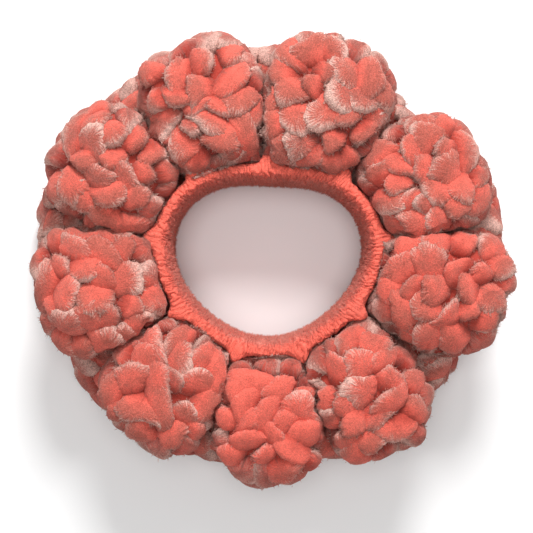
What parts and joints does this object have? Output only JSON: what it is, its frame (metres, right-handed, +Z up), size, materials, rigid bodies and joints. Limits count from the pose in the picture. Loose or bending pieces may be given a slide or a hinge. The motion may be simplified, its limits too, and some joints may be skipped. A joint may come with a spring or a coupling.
{
  "type": "spa headband",
  "caption": "Stretch headband: a ribbed velvet sleeve round an elastic loop, with two staggered rows of stuffed chenille puffs sewn round its outside.",
  "frame": {"origin": "middle of the footprint, on the surface that the headband lies on", "axes": "+Z up through the head opening; +Y towards the side of the two largest puffs, the top of the picture; +X to the right of it"},
  "size_m": [0.2328, 0.2158, 0.0646],
  "materials": {
    "chenille_velvet": "coral chenille velvet with frosted pile tips",
    "ribbed_velvet": "coral velvet gathered into fine ribs",
    "elastic_webbing": "white woven elastic",
    "polyester_fibre": "loose white fibre filling"
  },
  "bodies": {
    "segment_0": {"sleeve_section_0": "ribbed_velvet", "elastic_section_0": "elastic_webbing", "upper_puff_cover_0": "chenille_velvet", "upper_puff_filling_0": "polyester_fibre", "lower_puff_cover_0": "chenille_velvet", "lower_puff_filling_0": "polyester_fibre"},
    "segment_1": {"sleeve_section_1": "ribbed_velvet", "elastic_section_1": "elastic_webbing", "upper_puff_cover_1": "chenille_velvet", "upper_puff_filling_1": "polyester_fibre", "lower_puff_cover_1": "chenille_velvet", "lower_puff_filling_1": "polyester_fibre"},
    "segment_2": {"sleeve_section_2": "ribbed_velvet", "elastic_section_2": "elastic_webbing", "upper_puff_cover_2": "chenille_velvet", "upper_puff_filling_2": "polyester_fibre", "lower_puff_cover_2": "chenille_velvet", "lower_puff_filling_2": "polyester_fibre"},
    "segment_3": {"sleeve_section_3": "ribbed_velvet", "elastic_section_3": "elastic_webbing", "upper_puff_cover_3": "chenille_velvet", "upper_puff_filling_3": "polyester_fibre", "lower_puff_cover_3": "chenille_velvet", "lower_puff_filling_3": "polyester_fibre"},
    "segment_4": {"sleeve_section_4": "ribbed_velvet", "elastic_section_4": "elastic_webbing", "upper_puff_cover_4": "chenille_velvet", "upper_puff_filling_4": "polyester_fibre", "lower_puff_cover_4": "chenille_velvet", "lower_puff_filling_4": "polyester_fibre"},
    "segment_5": {"sleeve_section_5": "ribbed_velvet", "elastic_section_5": "elastic_webbing", "upper_puff_cover_5": "chenille_velvet", "upper_puff_filling_5": "polyester_fibre", "lower_puff_cover_5": "chenille_velvet", "lower_puff_filling_5": "polyester_fibre"},
    "segment_6": {"sleeve_section_6": "ribbed_velvet", "elastic_section_6": "elastic_webbing", "upper_puff_cover_6": "chenille_velvet", "upper_puff_filling_6": "polyester_fibre", "lower_puff_cover_6": "chenille_velvet", "lower_puff_filling_6": "polyester_fibre"},
    "segment_7": {"sleeve_section_7": "ribbed_velvet", "elastic_section_7": "elastic_webbing", "upper_puff_cover_7": "chenille_velvet", "upper_puff_filling_7": "polyester_fibre", "lower_puff_cover_7": "chenille_velvet", "lower_puff_filling_7": "polyester_fibre"},
    "segment_8": {"sleeve_section_8": "ribbed_velvet", "elastic_section_8": "elastic_webbing", "upper_puff_cover_8": "chenille_velvet", "upper_puff_filling_8": "polyester_fibre", "lower_puff_cover_8": "chenille_velvet", "lower_puff_filling_8": "polyester_fibre"}
  },
  "joints": [
    {"name": "stretch", "type": "slide", "parent": "segment_0", "child": "segment_1", "axis": [-0.9848, -0.1736, 0], "range_m": [0, 0.032], "stiffness_N_per_m": 150},
    {"name": "stretch_1_2", "type": "slide", "parent": "segment_1", "child": "segment_2", "axis": [-0.6428, -0.766, 0], "range_m": [0, 0.032], "stiffness_N_per_m": 150},
    {"name": "stretch_2_3", "type": "slide", "parent": "segment_2", "child": "segment_3", "axis": [0, -1, 0], "range_m": [0, 0.032], "stiffness_N_per_m": 150},
    {"name": "stretch_3_4", "type": "slide", "parent": "segment_3", "child": "segment_4", "axis": [0.6428, -0.766, 0], "range_m": [0, 0.032], "stiffness_N_per_m": 150},
    {"name": "stretch_0_8", "type": "slide", "parent": "segment_0", "child": "segment_8", "axis": [0.866, -0.5, 0], "range_m": [0, 0.032], "stiffness_N_per_m": 150},
    {"name": "stretch_8_7", "type": "slide", "parent": "segment_8", "child": "segment_7", "axis": [0.342, -0.9397, 0], "range_m": [0, 0.032], "stiffness_N_per_m": 150},
    {"name": "stretch_7_6", "type": "slide", "parent": "segment_7", "child": "segment_6", "axis": [-0.342, -0.9397, 0], "range_m": [0, 0.032], "stiffness_N_per_m": 150},
    {"name": "stretch_6_5", "type": "slide", "parent": "segment_6", "child": "segment_5", "axis": [-0.866, -0.5, 0], "range_m": [0, 0.032], "stiffness_N_per_m": 150}
  ],
  "couplings": [
    {"joint": "stretch_1_2", "follows": "stretch", "ratio": 1},
    {"joint": "stretch_2_3", "follows": "stretch", "ratio": 1},
    {"joint": "stretch_3_4", "follows": "stretch", "ratio": 1},
    {"joint": "stretch_0_8", "follows": "stretch", "ratio": 1},
    {"joint": "stretch_8_7", "follows": "stretch", "ratio": 1},
    {"joint": "stretch_7_6", "follows": "stretch", "ratio": 1},
    {"joint": "stretch_6_5", "follows": "stretch", "ratio": 1}
  ]
}
